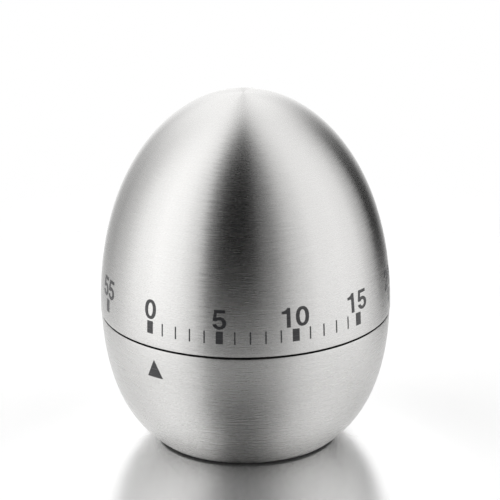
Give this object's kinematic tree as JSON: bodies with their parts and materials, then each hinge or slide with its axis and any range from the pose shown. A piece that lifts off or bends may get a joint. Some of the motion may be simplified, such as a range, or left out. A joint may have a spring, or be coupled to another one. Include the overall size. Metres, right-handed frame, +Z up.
{
  "type": "kitchen timer",
  "caption": "Egg-shaped wind-up kitchen timer: a steel dome turns on a fixed steel bowl and drives a clockwork with an escapement, a hammer and a bell.",
  "frame": {"origin": "centre of the foot ring's underside, where the timer stands on the table", "axes": "+Z up along the axis the dome turns on, towards its top; -Y towards the pointer on the bowl; +X to the right as seen from the pointer's side"},
  "size_m": [0.06, 0.06, 0.0746],
  "materials": {
    "brushed_steel": "brushed around the axis, satin",
    "plated_steel": "nickel plated, smooth",
    "spring_steel": "blued spring steel",
    "brass": "bright rolled brass",
    "black_plastic": "black moulded ABS, matte",
    "rubber": "black rubber",
    "ink": "charcoal printing ink on the steel"
  },
  "bodies": {
    "base": {"bowl_shell": "brushed_steel", "base_cup": "black_plastic", "bottom_cover": "black_plastic", "foot_ring": "rubber", "cover_screw_1": "plated_steel", "cover_screw_2": "plated_steel", "cover_screw_3": "plated_steel", "movement_screw_1": "plated_steel", "movement_screw_2": "plated_steel", "movement_screw_3": "plated_steel", "plate_screw_1": "plated_steel", "plate_screw_2": "plated_steel", "plate_screw_3": "plated_steel", "plate_screw_4": "plated_steel", "pillar_1": "plated_steel", "pillar_2": "plated_steel", "pillar_3": "plated_steel", "pillar_4": "plated_steel", "lower_plate": "plated_steel", "upper_plate": "plated_steel", "stop_pin": "plated_steel", "lever_stud": "plated_steel", "bell": "plated_steel", "bell_post": "plated_steel", "bell_screw": "plated_steel"},
    "dial": {"dome_shell": "brushed_steel", "dome_carrier": "black_plastic", "main_arbor": "plated_steel", "main_wheel": "brass", "clutch_spring": "spring_steel", "release_cam": "brass", "stop_arm": "plated_steel"},
    "barrel": {"ring_barrel": "brass", "barrel_cover": "brass", "mainspring": "spring_steel"},
    "second": {"second_arbor": "plated_steel", "second_wheel": "brass"},
    "third": {"third_arbor": "plated_steel", "third_wheel": "brass"},
    "escape": {"escape_arbor": "plated_steel", "escape_wheel": "brass"},
    "verge": {"verge_staff": "plated_steel", "verge_anchor": "plated_steel", "balance_wheel": "brass"},
    "strike": {"strike_arbor": "plated_steel", "strike_wheel": "brass"},
    "hammer": {"hammer_staff": "plated_steel", "hammer_verge": "plated_steel", "hammer_arm": "plated_steel", "hammer_finger": "plated_steel"},
    "release": {"release_lever": "plated_steel"}
  },
  "joints": [
    {"name": "dial_wind", "type": "hinge", "parent": "base", "child": "dial", "pos_m": [0, 0, 0.04], "axis": [0, 0, -1], "range_deg": [0, 345]},
    {"name": "barrel_ring", "type": "hinge", "parent": "base", "child": "barrel", "pos_m": [0, 0, 0.019], "axis": [0, 0, -1], "range_deg": [0, 180]},
    {"name": "second_turn", "type": "hinge", "parent": "base", "child": "second", "pos_m": [0, 0.0126, 0.021], "axis": [0, 0, -1], "range_deg": [-2760, 0]},
    {"name": "third_turn", "type": "hinge", "parent": "base", "child": "third", "pos_m": [-0.00788, 0.0097, 0.021], "axis": [0, 0, -1], "range_deg": [0, 16560]},
    {"name": "escape_turn", "type": "hinge", "parent": "base", "child": "escape", "pos_m": [-0.01436, 0.00705, 0.021], "axis": [0, 0, -1], "range_deg": [-99360, 0]},
    {"name": "verge_swing", "type": "hinge", "parent": "base", "child": "verge", "pos_m": [-0.01648, 0.0009, 0.021], "axis": [0, 0, -1], "range_deg": [-8, 8]},
    {"name": "strike_turn", "type": "hinge", "parent": "base", "child": "strike", "pos_m": [0.00965, -0.0081, 0.021], "axis": [0, 0, -1], "range_deg": [-1080, 0]},
    {"name": "hammer_rock", "type": "hinge", "parent": "base", "child": "hammer", "pos_m": [0.00555, -0.01176, 0.018], "axis": [0, 0, -1], "range_deg": [-4, 4]},
    {"name": "release_rock", "type": "hinge", "parent": "base", "child": "release", "pos_m": [-0.00636, -0.00636, 0.025], "axis": [0, 0, -1], "range_deg": [-6, 0]}
  ],
  "couplings": [
    {"joint": "second_turn", "follows": "dial_wind", "ratio": -8},
    {"joint": "third_turn", "follows": "dial_wind", "ratio": 48},
    {"joint": "escape_turn", "follows": "dial_wind", "ratio": -288},
    {"joint": "strike_turn", "follows": "barrel_ring", "ratio": -6}
  ]
}
